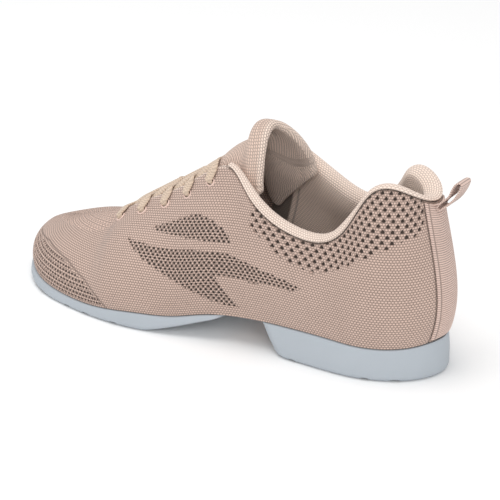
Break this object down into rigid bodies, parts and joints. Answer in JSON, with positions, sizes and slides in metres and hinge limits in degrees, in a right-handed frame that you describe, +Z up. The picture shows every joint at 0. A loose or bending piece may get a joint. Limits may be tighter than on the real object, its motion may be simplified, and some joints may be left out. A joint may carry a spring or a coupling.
{
  "type": "dance sneaker",
  "caption": "Low knitted lace-up dance shoe with a padded collar and tongue, a pull loop, and a sole split at the arch into forefoot and heel pads.",
  "frame": {"origin": "on the floor under the middle of the heel tread", "axes": "+X toward the outer side of the left foot, +Y toward the heel, -Y toward the toe, +Z up from the floor"},
  "size_m": [0.0944, 0.2755, 0.1165],
  "materials": {
    "knit": "matte knit",
    "padding": "matte padded mesh",
    "ribbon": "matte ribbed tape",
    "cord": "matte braid",
    "foam": "matte",
    "rubber": "matte"
  },
  "bodies": {
    "root": {"upper": "knit", "collar_lining": "padding", "tongue": "knit", "laces": "cord", "heel_strip": "ribbon", "pull_loop": "ribbon", "insole": "foam", "forefoot_sole": "rubber", "heel_sole": "rubber"}
  },
  "joints": []
}
